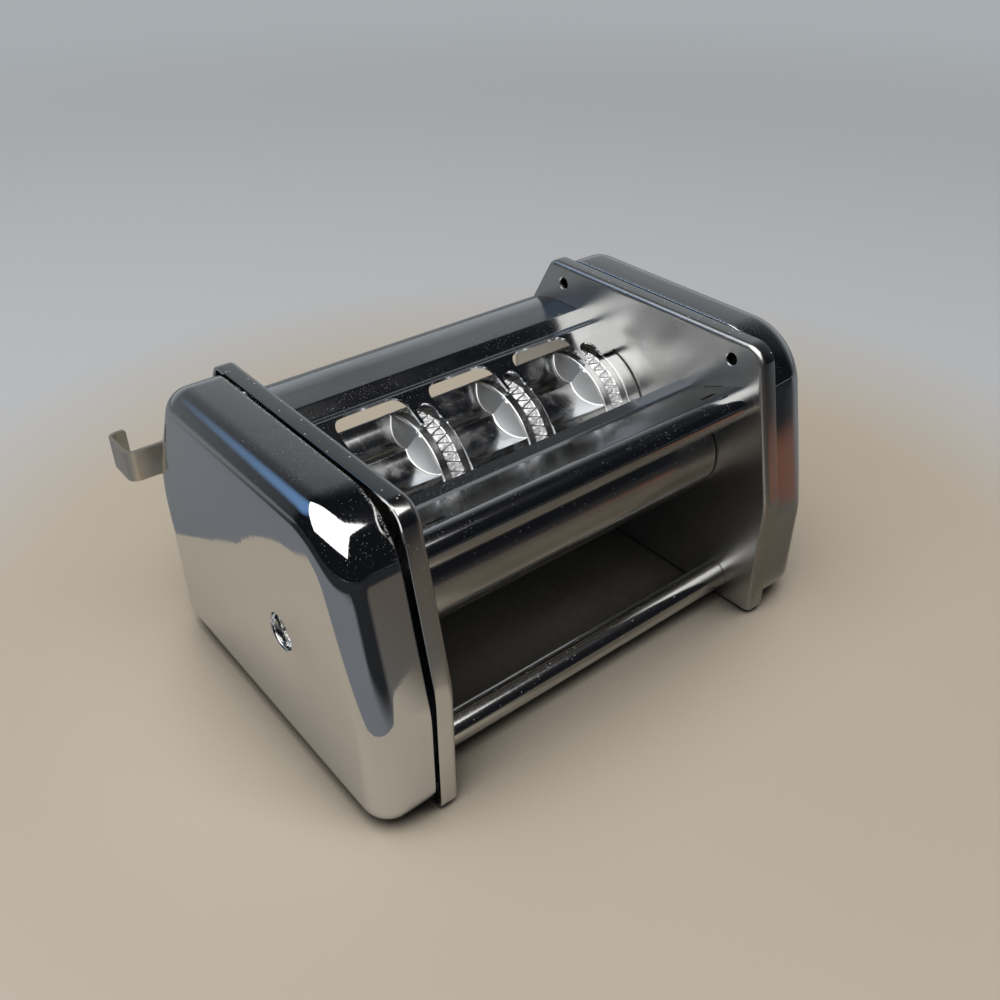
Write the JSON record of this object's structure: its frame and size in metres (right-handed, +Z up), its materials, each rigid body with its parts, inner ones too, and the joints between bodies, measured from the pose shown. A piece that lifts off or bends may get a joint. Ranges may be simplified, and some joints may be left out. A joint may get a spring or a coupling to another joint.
{
  "type": "ravioli maker",
  "caption": "Clip-on ravioli former with a pocketed die roller and a smooth roller geared together between chromed covers; a crank drives it from one side.",
  "frame": {"origin": "centre of the bounding box at the floor", "axes": "+X along the rollers towards the drive side, +Y towards the hooks at the back, +Z up"},
  "size_m": [0.2288, 0.1724, 0.117],
  "materials": {
    "cover_chrome": "mirror chrome plate",
    "plate_steel": "satin nickel plate on pressed steel",
    "guide_steel": "polished stainless sheet",
    "rod_steel": "polished steel",
    "hook_steel": "plated steel",
    "drum_cast": "cast aluminium, smooth and rough patches",
    "wheel_cast": "cast aluminium",
    "roller_satin": "fine turned satin",
    "bush_bronze": "sintered bronze",
    "gear_steel": "cut steel",
    "shaft_steel": "turned steel",
    "fastener_steel": "plated steel"
  },
  "bodies": {
    "frame": {"back_guide": "guide_steel", "back_tie_rod": "rod_steel", "die_bush_left": "bush_bronze", "die_bush_right": "bush_bronze", "front_guide": "guide_steel", "front_tie_rod": "rod_steel", "hook_rivets": "fastener_steel", "left_cover": "cover_chrome", "left_cover_pillar": "fastener_steel", "left_cover_screw": "fastener_steel", "left_hook": "hook_steel", "left_side_plate": "plate_steel", "press_bush_left": "bush_bronze", "press_bush_right": "bush_bronze", "right_cover": "cover_chrome", "right_cover_pillar": "fastener_steel", "right_cover_screw": "fastener_steel", "right_hook": "hook_steel", "right_side_plate": "plate_steel", "tie_rod_nuts": "fastener_steel"},
    "die_roller": {"crimp_wheel_1": "wheel_cast", "crimp_wheel_2": "wheel_cast", "crimp_wheel_3": "wheel_cast", "crimp_wheel_4": "wheel_cast", "die_collar_left": "wheel_cast", "die_collar_right": "wheel_cast", "die_drum_left": "drum_cast", "die_drum_middle": "drum_cast", "die_drum_right": "drum_cast", "die_shaft": "shaft_steel", "die_gear": "gear_steel", "drive_socket": "shaft_steel", "die_retaining_ring": "fastener_steel"},
    "press_roller": {"press_roller": "roller_satin", "press_shaft": "shaft_steel", "press_gear": "gear_steel", "press_retaining_rings": "fastener_steel"}
  },
  "joints": [
    {"name": "die_spin", "type": "hinge", "parent": "frame", "child": "die_roller", "pos_m": [0, 0.00825, 0.0635], "axis": [1, 0, 0], "continuous": true},
    {"name": "press_spin", "type": "hinge", "parent": "frame", "child": "press_roller", "pos_m": [0, -0.03865, 0.0635], "axis": [1, 0, 0], "continuous": true}
  ],
  "couplings": [
    {"joint": "press_spin", "follows": "die_spin", "ratio": -1.3}
  ]
}
